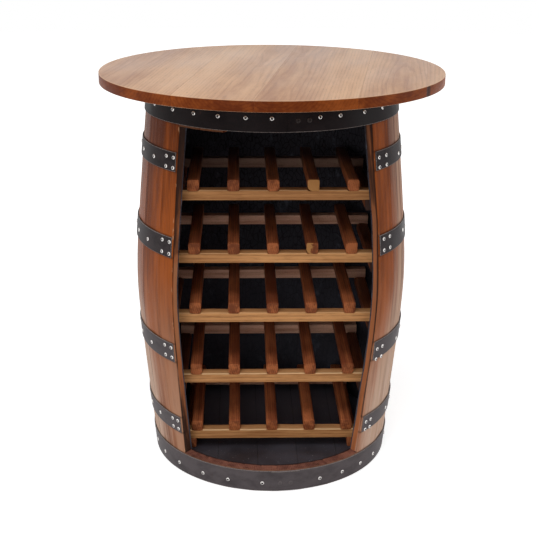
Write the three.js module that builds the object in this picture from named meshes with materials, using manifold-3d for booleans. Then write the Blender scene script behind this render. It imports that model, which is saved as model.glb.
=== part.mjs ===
// A whisky barrel stood on end as a bar table, with a bottle rack behind a sawn front opening.
// Millimetres, +Z up. The origin is on the barrel's axis, on the floor. The opening faces -Y.
import * as THREE from "three";
import { mergeVertices } from "three/addons/utils/BufferGeometryUtils.js";
import Module from "manifold-3d";

const wasm = await Module();
wasm.setup();

// Barrel body. A place along the barrel is a share of half its height, -1 at the floor, 1 at the top.
const barrelHeight = 892;
const bilgeRadius = 316;
const endRadius = 279;
const bilgeBendShare = 0.2; // how gently the staves turn over at the bilge
const staveThickness = 25; // at the barrel's ends
const bilgeThickness = 19; // the staves are hollowed towards the bilge
const staveGap = 0.3;

// Chime and croze, the same at both ends of every stave.
const chimeDepth = 20;
const chimeThickness = 14;
const crozeHeight = 37; // from the stave's end to the middle of the groove
const crozeWidth = 5;
const crozeDepth = 5;

// Front opening, bounded by two stave joints.
const openingLeftDegrees = -45;
const openingRightDegrees = 46.6;
const topStubLength = 63;
const bottomStubLength = 56.5;

// Stave widths, going round to the right from the opening's right edge, then across the opening.
const sideStaveShares = [
  12.2, 13.4, 11.6, 13.2, 11.4, 14, 12.8, 12, 13.4, 11.2, 13.6, 12.4, 14, 11.6, 12.8, 13.6,
  11.4, 13.2, 12.4, 14.8, 8.4,
];
const openingStaveShares = [11.8, 11.2, 12.8, 11, 10.1, 13.9, 8.5, 12.3];
const facetsPerStave = 2;

// Barrel heads.
const headThickness = 24;
const headBevelWidth = 12;
const headClearance = 0.4; // all round the tongue in the croze

// Hoops. The head hoops lie a setback from the barrel's ends, the others at shares of its height.
const hoopThickness = 2;
const hoopGap = 0.3;
const headHoopWidth = 53;
const topHoopSetback = 7.5;
const bottomHoopSetback = 2;
const quarterHoopWidth = 41;
const upperQuarterShare = 0.8414;
const lowerQuarterShare = 0.1457;
const bilgeHoopWidth = 45.5;
const upperBilgeShare = 0.6323;
const lowerBilgeShare = 0.3543;
const hoopEndSetback = 3; // from the opening's edge to the cut hoop's end

// Table top, edge-glued from boards. The shares are the boards' widths, from left to right.
const tableRadius = 386;
const tableThickness = 23;
const tableArris = 1.2;
const tableFacets = 72;
const tableTurnDegrees = -9;
const boardShares = [29.8, 22.2, 25.6, 17.4, 5.1];
const glueLine = 0.3;

// Bottle rack: sticks laid across each other, five levels.
const rackDepth = 320;
const rackRiseShare = 0.7317; // from the lowest level to the highest, of the height between heads
const rackLevelShares = [0, 0.248, 0.507, 0.751, 1];
const stickWidth = 26; // bars and runners
const stickHeight = 26;
const stickCorner = 5;
const stickFacets = 2;
const barSpacing = 87.5;
const barsPerLevel = 5;
const railDepth = 26;
const railHeight = 23;
const railArris = 1.5;
const railFacets = 1;
const seatDepth = 3; // how far a bar sinks into a rail
const housingDepth = 2; // how far a rail sinks into a runner
const jointClearance = 0.3;
const wallClearance = 0.3; // from a frame's corners to the staves

const fullTurn = 2 * Math.PI;
const halfHeight = barrelHeight / 2;
const radians = THREE.MathUtils.degToRad;

// Outside radius of the barrel at a height.
function outerRadius(height) {
  const place = height / halfHeight - 1;
  const rise = Math.hypot(place, bilgeBendShare) - bilgeBendShare;
  const full = Math.hypot(1, bilgeBendShare) - bilgeBendShare;
  return bilgeRadius - ((bilgeRadius - endRadius) * rise) / full;
}

// Thickness of the staves at a height.
function wallThickness(height) {
  const place = height / halfHeight - 1;
  return bilgeThickness + (staveThickness - bilgeThickness) * place ** 2;
}

const innerRadius = (height) => outerRadius(height) - wallThickness(height);

// Angles are counted from -Y, the front, and grow towards +X.
function placed(radius, angle, height) {
  return [radius * Math.sin(angle), -radius * Math.cos(angle), height];
}

// Where each share of a stretch from start to end begins and ends.
function staveSpans(start, end, shares) {
  const scale = (end - start) / shares.reduce((a, b) => a + b);
  let edge = start;
  return shares.map((share) => {
    const from = edge;
    edge += share * scale;
    return [from, edge];
  });
}

const openingLeft = radians(openingLeftDegrees);
const openingRight = radians(openingRightDegrees);
const sideSpans = staveSpans(openingRight, openingLeft + fullTurn, sideStaveShares);
const openingSpans = staveSpans(openingLeft, openingRight, openingStaveShares);

// The angles at which one stave's round faces are folded, gap included.
function facetAngles(start, end) {
  const inset = staveGap / 2 / bilgeRadius;
  const step = (end - start - 2 * inset) / facetsPerStave;
  return Array.from({ length: facetsPerStave + 1 }, (_, i) => start + inset + step * i);
}

// A closed solid between the first and last angle, from a counterclockwise outline of
// [radius, height] points. A whole turn closes on itself and needs no end faces.
function turnedSolid(outline, angles, whole = false) {
  const count = outline.length;
  const points = angles.flatMap((angle) => outline.map(([r, z]) => placed(r, angle, z)));
  const faces = [];
  const rings = whole ? angles.length : angles.length - 1;
  for (let ring = 0; ring < rings; ring++) {
    const here = ring * count;
    const next = ((ring + 1) % angles.length) * count;
    for (let i = 0; i < count; i++) {
      const j = (i + 1) % count;
      faces.push([here + i, next + j, here + j], [here + i, next + i, next + j]);
    }
  }
  if (!whole) {
    const flat = outline.map(([r, z]) => new THREE.Vector2(r, z));
    const last = (angles.length - 1) * count;
    for (const [a, b, c] of THREE.ShapeUtils.triangulateShape(flat, [])) {
      faces.push([a, b, c], [last + a, last + c, last + b]);
    }
  }
  return facedGeometry(points, faces);
}

// A BufferGeometry from corner points and triples of their numbers.
function facedGeometry(points, faces) {
  const geometry = new THREE.BufferGeometry();
  geometry.setAttribute("position", new THREE.Float32BufferAttribute(points.flat(), 3));
  geometry.setIndex(faces.flat());
  const loose = geometry.toNonIndexed();
  loose.computeVertexNormals();
  return loose;
}

// A round disc from its outline, which starts and ends on flat faces and never meets the axis.
function discSolid(outline, angles) {
  const count = outline.length;
  const points = angles.flatMap((angle) => outline.map(([r, z]) => placed(r, angle, z)));
  const under = points.push(placed(0, 0, outline[0][1])) - 1;
  const above = points.push(placed(0, 0, outline[count - 1][1])) - 1;
  const faces = [];
  angles.forEach((_, ring) => {
    const here = ring * count;
    const next = ((ring + 1) % angles.length) * count;
    for (let i = 0; i < count - 1; i++) {
      faces.push([here + i, next + i + 1, here + i + 1], [here + i, next + i, next + i + 1]);
    }
    faces.push([under, next, here], [above, here + count - 1, next + count - 1]);
  });
  return facedGeometry(points, faces);
}

// Materials
function material(color, roughness, metalness = 0) {
  return new THREE.MeshStandardMaterial({ color, roughness, metalness });
}

const staveOak = material(0x8a4d29, 0.55);
const sawnOak = material(0x7a3d26, 0.75);
const headOak = material(0x1c1a1c, 0.6);
const tableOak = material(0xbb9d84, 0.35);
const hoopSteel = material(0x3a3536, 0.45, 0.8);
const railOak = material(0xa9784a, 0.55);
const barOak = material(0x82482a, 0.6);

const barrel = new THREE.Group();

function add(group, name, geometry, finish) {
  const mesh = new THREE.Mesh(geometry, finish);
  mesh.name = name;
  group.add(mesh);
  return mesh;
}

// Staves

// Half of a stave's inside, from its end to the belly: chime bevel, then the croze groove.
// Each depth is counted from the end, and the cut goes that far into the inside face.
const endDepths = [
  [0, wallThickness(0) - chimeThickness],
  [chimeDepth, 0],
  [crozeHeight - crozeWidth / 2, 0],
  [crozeHeight - crozeWidth / 2, crozeDepth],
  [crozeHeight + crozeWidth / 2, crozeDepth],
  [crozeHeight + crozeWidth / 2, 0],
];

const bellyShares = [0.16, 0.27, 0.38, 0.46, 0.54, 0.62, 0.73, 0.84];

// The outline of a stave cut between two heights, both of them inside the barrel's length.
function staveOutline(low, high) {
  const inside = (height) => height > low && height < high;
  const belly = bellyShares.map((share) => share * barrelHeight).filter(inside);
  const outside = [low, ...belly, high].map((height) => [outerRadius(height), height]);
  const topEnd = endDepths.map(([depth, cut]) => [barrelHeight - depth, cut]).reverse();
  const middle = belly.map((height) => [height, 0]);
  const within = [...endDepths, ...middle, ...topEnd].filter(
    ([height]) => height >= low && height <= high,
  );
  const inner = within.map(([height, cut]) => [innerRadius(height) + cut, height]);
  if (low > 0) inner.unshift(squareCut(low));
  if (high < barrelHeight) inner.push(squareCut(high));
  return [...outside, ...inner.reverse()];
}

// Inside end of a saw cut that starts at a height and goes square through the stave.
function squareCut(height) {
  const half = wallThickness(height) / 2;
  const lean = (outerRadius(height + half) - outerRadius(height - half)) / (2 * half);
  const reached = height + lean * wallThickness(height);
  return [innerRadius(reached), reached];
}

const numbered = (name, i) => `${name}_${String(i + 1).padStart(2, "0")}`;

function addStaves() {
  const outline = staveOutline(0, barrelHeight);
  sideSpans.forEach(([start, end], i) => {
    const angles = facetAngles(start, end);
    add(barrel, numbered("stave", i), turnedSolid(outline, angles), staveOak);
  });
}

// What is left of the staves that were sawn out for the opening.
function addStubs() {
  const bottomOutline = staveOutline(0, bottomStubLength);
  const topOutline = staveOutline(barrelHeight - topStubLength, barrelHeight);
  openingSpans.forEach(([start, end], i) => {
    const angles = facetAngles(start, end);
    add(barrel, numbered("bottom_stub", i), turnedSolid(bottomOutline, angles), sawnOak);
    add(barrel, numbered("top_stub", i), turnedSolid(topOutline, angles), sawnOak);
  });
}

// Every fold in the ring of staves, so that hoops and heads fold where the staves do.
const foldAngles = [
  ...sideSpans,
  ...openingSpans.map(([start, end]) => [start + fullTurn, end + fullTurn]),
].flatMap(([start, end]) => facetAngles(start, end).slice(0, -1));

// Barrel heads

// A thin tongue round the head sits in the croze, and a bevel leads from it to each face.
const tongueRoot = innerRadius(crozeHeight) - headClearance;
const headRadius = tongueRoot + crozeDepth;
const headFaceRadius = tongueRoot - headBevelWidth;
const tongueThickness = crozeWidth - 2 * headClearance;

function addHeads() {
  const outline = [
    [headFaceRadius, -headThickness / 2],
    [tongueRoot, -tongueThickness / 2],
    [headRadius, -tongueThickness / 2],
    [headRadius, tongueThickness / 2],
    [tongueRoot, tongueThickness / 2],
    [headFaceRadius, headThickness / 2],
  ];
  const geometry = discSolid(outline, foldAngles);
  add(barrel, "bottom_head", geometry, headOak).position.z = crozeHeight;
  add(barrel, "top_head", geometry, headOak).position.z = barrelHeight - crozeHeight;
}

// Hoops

// A hoop is a strap rolled to the staves' slope.
function hoopOutline(height, width) {
  const low = height - width / 2;
  const high = height + width / 2;
  const face = (z, lift) => [outerRadius(z) + hoopGap + lift, z];
  return [face(low, 0), face(low, hoopThickness), face(high, hoopThickness), face(high, 0)];
}

function addHoops() {
  const cutEnd = hoopEndSetback / bilgeRadius;
  const inside = foldAngles.filter(
    (angle) => angle > openingRight + cutEnd && angle < openingLeft + fullTurn - cutEnd,
  );
  const cutAngles = [openingRight + cutEnd, ...inside, openingLeft + fullTurn - cutEnd];
  const rings = [
    ["top_head_hoop", barrelHeight - topHoopSetback - headHoopWidth / 2],
    ["bottom_head_hoop", bottomHoopSetback + headHoopWidth / 2],
  ];
  const cutRings = [
    ["upper_quarter_hoop", upperQuarterShare, quarterHoopWidth],
    ["upper_bilge_hoop", upperBilgeShare, bilgeHoopWidth],
    ["lower_bilge_hoop", lowerBilgeShare, bilgeHoopWidth],
    ["lower_quarter_hoop", lowerQuarterShare, quarterHoopWidth],
  ];
  rings.forEach(([name, height]) => {
    const outline = hoopOutline(height, headHoopWidth);
    add(barrel, name, turnedSolid(outline, foldAngles, true), hoopSteel);
  });
  cutRings.forEach(([name, share, width]) => {
    const outline = hoopOutline(share * barrelHeight, width);
    add(barrel, name, turnedSolid(outline, cutAngles), hoopSteel);
  });
}

// Joining and cutting

function solidOf(geometry) {
  const bare = geometry.clone();
  bare.deleteAttribute("normal");
  bare.deleteAttribute("uv");
  const merged = mergeVertices(bare);
  return new wasm.Manifold(
    new wasm.Mesh({
      numProp: 3,
      vertProperties: merged.attributes.position.array,
      triVerts: new Uint32Array(merged.index.array),
    }),
  );
}

function geometryOf(solid) {
  const { vertProperties, triVerts } = solid.getMesh();
  const geometry = new THREE.BufferGeometry();
  geometry.setAttribute("position", new THREE.BufferAttribute(vertProperties, 3));
  geometry.setIndex(new THREE.BufferAttribute(triVerts, 1));
  const loose = geometry.toNonIndexed();
  loose.computeVertexNormals();
  return loose;
}

const join = (solids) => solids.reduce((a, b) => a.add(b));
const cut = (solid, tools) => tools.reduce((a, b) => a.subtract(b), solid);

// Table top

// A plain block between two values of x, deep and tall enough to hold the table.
function boardSlab(left, right) {
  const slab = new THREE.BoxGeometry(right - left, tableRadius * 3, tableThickness * 3);
  return slab.translate((left + right) / 2, 0, tableThickness / 2);
}

function addTable() {
  const outline = [
    [tableRadius - tableArris, 0],
    [tableRadius, tableArris],
    [tableRadius, tableThickness - tableArris],
    [tableRadius - tableArris, tableThickness],
  ];
  const angles = Array.from({ length: tableFacets }, (_, i) => (fullTurn * i) / tableFacets);
  const round = solidOf(discSolid(outline, angles));
  const table = new THREE.Group();
  table.position.z = barrelHeight;
  table.rotation.z = radians(tableTurnDegrees);
  const boards = staveSpans(-tableRadius, tableRadius, boardShares);
  boards.forEach(([left, right], i) => {
    const slab = boardSlab(left + glueLine / 2, right - glueLine / 2);
    const board = geometryOf(round.intersect(solidOf(slab)));
    add(table, `table_board_${i + 1}`, board, tableOak);
  });
  barrel.add(table);
}

// Bottle rack

// A rounded rectangle's points, spread by a clearance on every side.
function roundedSection(width, height, corner, steps, spread = 0) {
  const middles = [
    [width / 2 - corner, height / 2 - corner],
    [corner - width / 2, height / 2 - corner],
    [corner - width / 2, corner - height / 2],
    [width / 2 - corner, corner - height / 2],
  ];
  const r = corner + spread;
  const quarter = fullTurn / 4;
  const points = middles.flatMap(([x, y], side) =>
    Array.from({ length: steps + 1 }, (_, i) => {
      const angle = quarter * (side + i / steps);
      return new THREE.Vector2(x + r * Math.cos(angle), y + r * Math.sin(angle));
    }),
  );
  return new THREE.Shape(points);
}

const alongX = new THREE.Matrix4().makeBasis(
  new THREE.Vector3(0, 1, 0),
  new THREE.Vector3(0, 0, 1),
  new THREE.Vector3(1, 0, 0),
);
const alongY = new THREE.Matrix4().makeRotationX(fullTurn / 4);

// A stick of a section, centred on a point, lying along X or Y.
function stick(section, length, direction, [x, y, z]) {
  const geometry = new THREE.ExtrudeGeometry(section, { depth: length, bevelEnabled: false });
  geometry.translate(0, 0, -length / 2).applyMatrix4(direction).translate(x, y, z);
  return solidOf(geometry);
}

// Heights inside a level are counted from the top of its rails.
const barMiddle = stickHeight / 2 - seatDepth;
const railMiddle = -railHeight / 2;
const runnerMiddle = housingDepth - railHeight - stickHeight / 2;
const runnerFoot = runnerMiddle - stickHeight / 2;
const floorHeight = crozeHeight + headThickness / 2;
const rackRise = rackRiseShare * (barrelHeight - 2 * floorHeight);
const railPlace = rackDepth / 2 - railDepth / 2;

function bars(spread) {
  const section = roundedSection(stickWidth, stickHeight, stickCorner, stickFacets, spread);
  return Array.from({ length: barsPerLevel }, (_, i) => {
    const x = (i - (barsPerLevel - 1) / 2) * barSpacing;
    return stick(section, rackDepth + 2 * spread, alongY, [x, 0, barMiddle]);
  });
}

function rail(halfWidth, y, spread = 0) {
  const section = roundedSection(railDepth, railHeight, railArris, railFacets, spread);
  return stick(section, 2 * (halfWidth + spread), alongX, [0, y, railMiddle]);
}

function runners(halfWidth) {
  const section = roundedSection(stickWidth, stickHeight, stickCorner, stickFacets);
  const x = halfWidth - stickWidth / 2;
  return [-x, x].map((place) => stick(section, rackDepth, alongY, [place, 0, runnerMiddle]));
}

// Between their folds the staves come this much closer to the axis, as a share of the radius.
const widestStave = Math.max(...sideSpans.map(([start, end]) => end - start));
const chordShare = Math.cos(widestStave / facetsPerStave / 2);

// The frames are wedged between the staves, so each is as wide as the barrel lets it be.
function addLevel(i) {
  const height = floorHeight - runnerFoot + rackRise * rackLevelShares[i];
  const tightest = Math.min(innerRadius(height), innerRadius(height + runnerFoot));
  const reach = tightest * chordShare - wallClearance;
  const halfWidth = Math.sqrt(reach ** 2 - (rackDepth / 2) ** 2);
  const level = new THREE.Group();
  level.position.z = height;
  const frontRail = cut(rail(halfWidth, -railPlace), bars(jointClearance));
  const backFrame = join([rail(halfWidth, railPlace), ...bars(0), ...runners(halfWidth)]);
  const housed = cut(backFrame, [rail(halfWidth, -railPlace, jointClearance)]);
  add(level, `front_rail_${i + 1}`, geometryOf(frontRail), railOak);
  add(level, `bar_frame_${i + 1}`, geometryOf(housed), barOak);
  barrel.add(level);
}

addStaves();
addStubs();
addHeads();
addHoops();
addTable();
rackLevelShares.forEach((_, i) => addLevel(i));

export default barrel;
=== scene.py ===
"""A bar table made from an upright oak barrel, with a sawn-out front and a rack for bottles."""

import math
import random

import bmesh
import bpy
from mathutils import Matrix, Vector, noise


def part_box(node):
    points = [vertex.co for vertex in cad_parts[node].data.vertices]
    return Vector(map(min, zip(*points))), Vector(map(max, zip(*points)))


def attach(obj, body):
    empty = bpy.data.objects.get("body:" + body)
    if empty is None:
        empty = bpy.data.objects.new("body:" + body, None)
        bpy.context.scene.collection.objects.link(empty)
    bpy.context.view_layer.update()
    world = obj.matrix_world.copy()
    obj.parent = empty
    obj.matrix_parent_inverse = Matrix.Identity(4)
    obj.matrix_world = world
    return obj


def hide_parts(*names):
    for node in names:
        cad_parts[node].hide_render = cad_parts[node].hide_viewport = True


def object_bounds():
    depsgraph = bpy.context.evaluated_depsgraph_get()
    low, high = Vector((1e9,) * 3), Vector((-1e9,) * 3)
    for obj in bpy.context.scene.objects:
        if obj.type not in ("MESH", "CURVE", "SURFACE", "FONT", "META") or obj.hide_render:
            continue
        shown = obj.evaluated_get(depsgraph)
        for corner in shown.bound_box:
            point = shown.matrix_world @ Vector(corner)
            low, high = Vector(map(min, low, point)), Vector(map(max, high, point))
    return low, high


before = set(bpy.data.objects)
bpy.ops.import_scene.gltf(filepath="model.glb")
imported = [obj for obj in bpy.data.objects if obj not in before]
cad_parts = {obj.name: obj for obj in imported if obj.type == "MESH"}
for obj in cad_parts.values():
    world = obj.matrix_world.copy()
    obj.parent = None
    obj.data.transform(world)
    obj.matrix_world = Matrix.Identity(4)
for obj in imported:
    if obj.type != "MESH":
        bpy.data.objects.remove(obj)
cad_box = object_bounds()

MM = 0.001
TURN = 2 * math.pi
SHARP = math.radians(32)
UP = Vector((0, 0, 1))

# The barrel, in metres, as the solids have it.
BARREL_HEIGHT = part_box("stave_11")[1].z
BILGE_RADIUS = 0.316
END_RADIUS = 0.279
BEND_SHARE = 0.2
STAVE_THICKNESS = 25 * MM
BILGE_THICKNESS = 19 * MM
CHIME_DEPTH = 20 * MM
CHIME_THICKNESS = 14 * MM
CROZE_HEIGHT = 37 * MM
CROZE_WIDTH = 5 * MM
CROZE_DEPTH = 5 * MM
HEAD_BOARD = 92 * MM
SIDE_STAVES = 21
OPENING_STAVES = 8

# Hoops
HOOP_THICKNESS = 2 * MM
HOOP_GAP = 0.4 * MM
LAP_THICKNESS = 1.3 * MM
# The riveted lap of each hoop: its middle in degrees, and its rivets' height.
HOOP_LAPS = {
    "top_head_hoop": (11.5, 0.8554),
    "bottom_head_hoop": (5.5, 0.0235),
    "upper_quarter_hoop": (196, 0.7505),
    "upper_bilge_hoop": (158, 0.564),
    "lower_bilge_hoop": (171, 0.316),
    "lower_quarter_hoop": (209, 0.130),
}

# Table
TABLE_RADIUS = cad_box[1].x
TABLE_TURN = math.radians(-9)
BOARD_SHARES = (29.8, 22.2, 25.6, 17.4, 5.1)
TABLE_ARRIS = 1.3 * MM
BOARD_EDGES = [TABLE_RADIUS * (2 * sum(BOARD_SHARES[:i]) / sum(BOARD_SHARES) - 1)
               for i in range(len(BOARD_SHARES) + 1)]
EDGE_KNOT = (0.3185, -0.2180, 0.9035)

# Rack
LEVELS = 5
BARS = 5
BAR_SPACING = 87.5 * MM
STICK = 26 * MM
SEAT_DEPTH = 3 * MM
RAIL_HEIGHT = 23 * MM


def outer_radius(height):
    """Outside radius of the barrel at a height."""
    place = 2 * height / BARREL_HEIGHT - 1
    rise = math.hypot(place, BEND_SHARE) - BEND_SHARE
    full = math.hypot(1, BEND_SHARE) - BEND_SHARE
    return BILGE_RADIUS - (BILGE_RADIUS - END_RADIUS) * rise / full


def wall_thickness(height):
    """Thickness of the staves at a height, least at the bilge."""
    place = 2 * height / BARREL_HEIGHT - 1
    return BILGE_THICKNESS + (STAVE_THICKNESS - BILGE_THICKNESS) * place**2


def placed(radius, angle, height):
    """A point by its radius, its angle from -Y towards +X, and its height."""
    return Vector((radius * math.sin(angle), -radius * math.cos(angle), height))


def wrapped(angle):
    """The same direction as an angle from -pi to pi."""
    return (angle + math.pi) % TURN - math.pi


def node_span(node):
    """The first and last angle of a stave or stub."""
    points = [v.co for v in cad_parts[node].data.vertices]
    middle = sum(points, Vector()) / len(points)
    centre = math.atan2(middle.x, -middle.y)
    offsets = [wrapped(math.atan2(point.x, -point.y) - centre) for point in points]
    return centre + min(offsets), centre + max(offsets)


def z_range(node):
    """The heights of a solid's foot and top."""
    return [corner.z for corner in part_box(node)]


def follow(knots, value):
    """Straight lines through the knots, level beyond the first and the last."""
    if value <= knots[0][0]:
        return knots[0][1]
    for (a, low), (b, high) in zip(knots, knots[1:]):
        if value <= b:
            return low + (high - low) * (value - a) / (b - a)
    return knots[-1][1]


def in_radians(knots):
    return [(height, math.radians(angle)) for height, angle in knots]


# The opening's sides aren't quite straight: height in metres, and angle in degrees.
LEFT_EDGE = in_radians(((0.06, -45.6), (0.45, -44.9), (0.84, -44.6)))
RIGHT_EDGE = in_radians(((0.06, 44.2), (0.2, 45.3), (0.35, 46.7), (0.5, 47.4), (0.62, 47.9),
                         (0.72, 47.1), (0.84, 46.8)))


def spread(low, high, count):
    """Evenly spaced values, both ends included."""
    return [low + (high - low) * i / (count - 1) for i in range(count)]


# Meshes

def mark_sharp(mesh):
    """Smooth shading, but not over sharp edges."""
    work = bmesh.new()
    work.from_mesh(mesh)
    bmesh.ops.recalc_face_normals(work, faces=work.faces)
    for face in work.faces:
        face.smooth = True
    for edge in work.edges:
        edge.smooth = len(edge.link_faces) == 2 and edge.calc_face_angle() < SHARP
    work.to_mesh(mesh)
    work.free()


def new_object(name, data):
    """An object in the scene."""
    made = bpy.data.objects.new(name, data)
    bpy.context.scene.collection.objects.link(made)
    return made


def new_piece(name, points, faces, material, node=None, grain=None, tint=0.5, wear=None,
              stain=None):
    """A piece that rides with the table, with the values its material reads. It stands for a
    node's solid, if one is given."""
    mesh = bpy.data.meshes.new(name)
    mesh.from_pydata(points, [], faces)
    mesh.validate()
    mark_sharp(mesh)
    mesh.attributes.new("grain", "FLOAT_VECTOR", "POINT").data.foreach_set(
        "vector", flat(grain or points))
    none = [0.0] * len(points)
    for key, domain, values in (("tint", "FACE", [tint] * len(mesh.polygons)),
                                ("wear", "POINT", wear or none),
                                ("stain", "POINT", stain or none)):
        mesh.attributes.new(key, "FLOAT", domain).data.foreach_set("value", values)
    mesh.materials.append(MATERIALS[material])
    piece = new_object(name, mesh)
    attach(piece, "root")
    if node:
        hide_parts(node)
    return piece


def refinish(piece, material, chosen, tint=None):
    """Gives the chosen faces a second material, and a tone of their own."""
    piece.data.materials.append(MATERIALS[material])
    tints = piece.data.attributes["tint"].data
    for face in piece.data.polygons:
        if chosen(face):
            face.material_index = 1
            if tint is not None:
                tints[face.index].value = tint


def joined(parts):
    """Several lots of points, faces and wear as one."""
    points, faces, wear = [], [], []
    for more_points, more_faces, more_wear in parts:
        faces += [tuple(i + len(points) for i in face) for face in more_faces]
        points += more_points
        wear += more_wear
    return points, faces, wear


def skin(rings, closed=False):
    """Faces over rings of equally many points, with caps unless the rings close on themselves."""
    count = len(rings[0])
    faces = []
    for ring in range(len(rings) if closed else len(rings) - 1):
        here = ring * count
        there = (ring + 1) % len(rings) * count
        for i in range(count):
            j = (i + 1) % count
            faces.append((here + i, here + j, there + j, there + i))
    if not closed:
        last = (len(rings) - 1) * count
        faces.append(tuple(range(count)))
        faces.append(tuple(last + i for i in reversed(range(count))))
    return faces


def flat(lists):
    return [item for one in lists for item in one]


# Nodes

class Wire:
    """An output of a node. It takes + - * and / with numbers and other outputs."""

    def __init__(self, nodes, socket):
        self.nodes = nodes
        self.socket = socket

    def __add__(self, other):
        return self.nodes.maths("ADD", self, other)

    def __sub__(self, other):
        return self.nodes.maths("SUBTRACT", self, other)

    def __rsub__(self, other):
        return self.nodes.maths("SUBTRACT", other, self)

    def __mul__(self, other):
        return self.nodes.maths("MULTIPLY", self, other)

    def __truediv__(self, other):
        return self.nodes.maths("DIVIDE", self, other)


class Nodes:
    """The node tree of a material or a world, with the kinds of node used here."""

    def __init__(self, owner):
        owner.use_nodes = True
        self.owner = owner
        self.colour = None
        self.tree = owner.node_tree
        self.tree.nodes.clear()

    def add(self, kind, inputs, output=0, **settings):
        """Adds a node and gives one of its outputs. Its inputs are constants or Wires."""
        node = self.tree.nodes.new("ShaderNode" + kind)
        for name, value in settings.items():
            setattr(node, name, value)
        for key, value in inputs.items():
            if isinstance(value, Wire):
                self.tree.links.new(value.socket, node.inputs[key])
            else:
                node.inputs[key].default_value = value
        return Wire(self, node.outputs[output]) if node.outputs else None

    def maths(self, operation, *values):
        return self.add("Math", dict(enumerate(values)), operation=operation)

    def vectors(self, operation, *values, output=0):
        return self.add("VectorMath", dict(enumerate(values)), output, operation=operation)

    def axis(self, vector, number):
        return self.add("SeparateXYZ", {0: vector}, number)

    def place(self):
        return self.add("TexCoord", {}, "Object")

    def attribute(self, name, output="Fac"):
        return self.add("Attribute", {}, output, attribute_name=name)

    def noise(self, vector, stretch, detail=3.0, roughness=0.5):
        """Noise from 0 to 1. stretch is how many bumps a metre it has along each axis."""
        spot = self.vectors("MULTIPLY", vector, stretch)
        return self.add("TexNoise", {"Vector": spot, "Scale": 1.0, "Detail": detail,
                                     "Roughness": roughness}, "Fac")

    def remap(self, value, low, high, to_low=0.0, to_high=1.0):
        """A soft step from to_low to to_high, while the value goes from low to high."""
        return self.add("MapRange", {0: value, 1: low, 2: high, 3: to_low, 4: to_high},
                        interpolation_type="SMOOTHSTEP")

    def mix(self, factor, a, b):
        """A colour between a, at 0, and b, at 1."""
        return self.add("Mix", {0: factor, 6: a, 7: b}, 2, data_type="RGBA")

    def coat(self, factor, colour):
        """Lays a colour over the material's colour so far."""
        self.colour = self.mix(factor, self.colour, colour)

    def surface(self, roughness, relief, depth, gloss=0.5, metallic=0.0):
        """Ends a material and gives it. A relief of 1 is as high as the depth."""
        bump = self.add("Bump", {"Height": relief, "Distance": depth, "Strength": 1.0}, "Normal")
        shader = self.add("BsdfPrincipled", {"Base Color": self.colour, "Roughness": roughness,
                                             "Normal": bump, "Specular IOR Level": gloss,
                                             "Metallic": metallic})
        self.add("OutputMaterial", {"Surface": shader})
        return self.owner


def new_material(name):
    return Nodes(bpy.data.materials.new(name))


def srgb(red, green, blue):
    """A linear colour from the 0 to 255 values seen on a screen."""
    def linear(value):
        value /= 255
        return value / 12.92 if value <= 0.04045 else ((value + 0.055) / 1.055) ** 2.4
    return (linear(red), linear(green), linear(blue), 1.0)


# Wood

def oak_figure(n, grain, spacing, pith, warp, sway=(5, 5, 1.6)):
    """Growth rings and pores of oak, as two values from 0 to 1.

    grain runs along its Z. pith is the heart's distance across and in depth, and warp says
    how far the rings wander, all in metres. sway is how often they do, each way."""
    wander = (n.noise(grain, sway, 1.5) - 0.5) * warp
    ripple = (n.noise(grain, (60, 60, 6)) - 0.5) * (warp * 0.12)
    across = n.axis(grain, 0) + pith[0]
    deep = n.axis(grain, 1) + pith[1] + wander
    distance = n.maths("SQRT", across * across + deep * deep) + ripple
    year = n.maths("FRACT", distance / spacing)
    rings = n.maths("MAXIMUM", n.remap(year, 0.0, 0.35, 1.0, 0.0), n.remap(year, 0.82, 1.0))
    pores = n.remap(n.noise(grain, (1400, 1400, 34), 2.0), 0.57, 0.68)
    return rings, pores * n.remap(rings, 0.0, 1.0, 0.35, 1.0)


PORE_BROWN = (0.03, 0.014, 0.008, 1)


def oak(n, grain, figure, light, dark, amounts, darker=0.0):
    """Starts a material with oak, between light and dark. Gives its rings and pores.

    amounts says how much the growth rings, the streaks and the slow clouds of tone show, and
    darker is added all over."""
    rings, pores = oak_figure(n, grain, *figure)
    by_rings, by_streaks, by_clouds = amounts
    clouds = n.noise(grain, (20, 20, 3.6), 5.0, 0.6)
    streaks = n.noise(grain, (85, 85, 2.6), 4.0, 0.55)
    shade = (rings - 0.35) * by_rings
    shade += n.remap(streaks, 0.3, 0.7, -by_streaks, by_streaks)
    shade += n.remap(clouds, 0.3, 0.7, -by_clouds, by_clouds)
    shade = shade + darker + (1.0 - n.attribute("tint"))
    n.colour = n.mix(pores * 0.5, n.mix(n.remap(shade, 0.0, 1.0), light, dark), PORE_BROWN)
    return rings, pores


def near(n, value, lines, width):
    """1 at any of the lines, fading to 0 on both sides over the width."""
    total = 0.0
    for line in lines:
        close = n.remap(n.maths("ABSOLUTE", value - line), 0.0, width, 1.0, 0.0)
        total = n.maths("MAXIMUM", total, close)
    return total


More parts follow.
